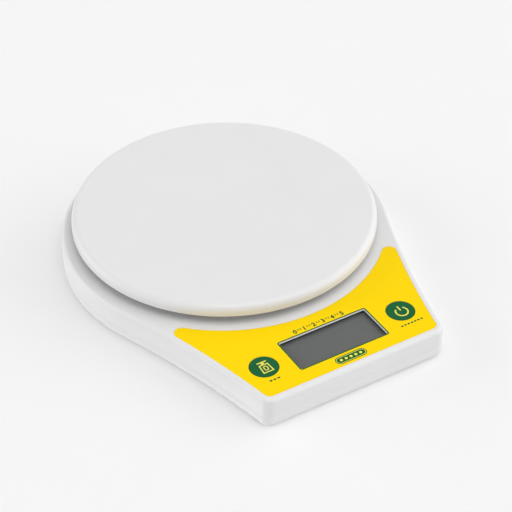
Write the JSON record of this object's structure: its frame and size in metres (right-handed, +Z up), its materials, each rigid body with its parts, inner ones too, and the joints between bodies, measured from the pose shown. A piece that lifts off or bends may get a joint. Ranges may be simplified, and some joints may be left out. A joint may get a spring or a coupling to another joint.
{
  "type": "weighing scale",
  "caption": "Low battery-powered weighing scale with a round white platform, a tapering front panel, a small display window and two round keys.",
  "frame": {"origin": "on the table, under the middle of the body's footprint", "axes": "+Z up, -Y towards the user and the control panel, +X to the user's right"},
  "size_m": [0.162, 0.1994, 0.0265],
  "materials": {
    "white_plastic": "satin white ABS with a fine moulded skin",
    "carrier_plastic": "natural grey ABS, as moulded",
    "screw_steel": "zinc-plated steel",
    "foot_rubber": "matt black rubber",
    "cell_aluminium": "milled aluminium bar",
    "potting_silicone": "white silicone over the strain gauges",
    "cable_sleeve": "grey vinyl sleeve",
    "board_laminate": "green solder mask on glass-fibre laminate",
    "black_resin": "black resin",
    "component_body": "ceramic and metal components",
    "display_dark": "dark grey liquid-crystal glass, unlit",
    "strip_rubber": "striped silicone contact strip",
    "clear_lens": "clear acrylic",
    "label_yellow": "printed yellow film with a fine satin grain",
    "key_green": "dark green, with a fine satin grain",
    "stem_grey": "grey moulded plastic",
    "battery_sleeve": "plain slate-blue vinyl sleeve with a metal button",
    "contact_nickel": "nickel-plated spring steel",
    "lead_red": "red vinyl",
    "lead_black": "black vinyl"
  },
  "bodies": {
    "base": {"upper_shell": "white_plastic", "lower_shell": "white_plastic", "display_frame": "carrier_plastic", "shell_screws": "screw_steel", "load_cell_bolts": "screw_steel", "overload_stop": "screw_steel", "board_screws": "screw_steel", "foot_front_left": "foot_rubber", "foot_front_right": "foot_rubber", "foot_rear_left": "foot_rubber", "foot_rear_right": "foot_rubber", "load_cell": "cell_aluminium", "gauge_potting": "potting_silicone", "load_cell_cable": "cable_sleeve", "circuit_board": "board_laminate", "chip_cover": "black_resin", "unit_switch": "black_resin", "tare_switch": "black_resin", "board_components": "component_body", "display_glass": "display_dark", "contact_strips": "strip_rubber", "display_lens": "clear_lens", "face_label": "label_yellow", "battery_front": "battery_sleeve", "battery_rear": "battery_sleeve", "contact_plus": "contact_nickel", "contact_minus": "contact_nickel", "contact_link": "contact_nickel", "spring_minus": "contact_nickel", "spring_link": "contact_nickel", "lead_plus": "lead_red", "lead_minus": "lead_black"},
    "platform": {"pan": "white_plastic", "carrier": "carrier_plastic", "carrier_bolts": "screw_steel"},
    "unit_button": {"unit_key": "key_green", "unit_switch_stem": "stem_grey"},
    "tare_button": {"tare_key": "key_green", "tare_switch_stem": "stem_grey"},
    "battery_cover": {"battery_door": "white_plastic"}
  },
  "joints": [
    {"name": "platform_press", "type": "slide", "parent": "base", "child": "platform", "axis": [0, 0, 1], "range_m": [-0.0006, 0], "stiffness_N_per_m": 80000, "springref_m": 0.00003, "deforming": ["load_cell"]},
    {"name": "unit_key_press", "type": "slide", "parent": "base", "child": "unit_button", "axis": [0, 0, 1], "range_m": [-0.0004, 0], "stiffness_N_per_m": 3000, "springref_m": 0.0001},
    {"name": "tare_key_press", "type": "slide", "parent": "base", "child": "tare_button", "axis": [0, 0, 1], "range_m": [-0.0004, 0], "stiffness_N_per_m": 3000, "springref_m": 0.0001},
    {"name": "battery_door_hinge", "type": "hinge", "parent": "base", "child": "battery_cover", "pos_m": [0, -0.03105, 0.0015], "axis": [1, 0, 0], "range_deg": [0, 100]}
  ]
}
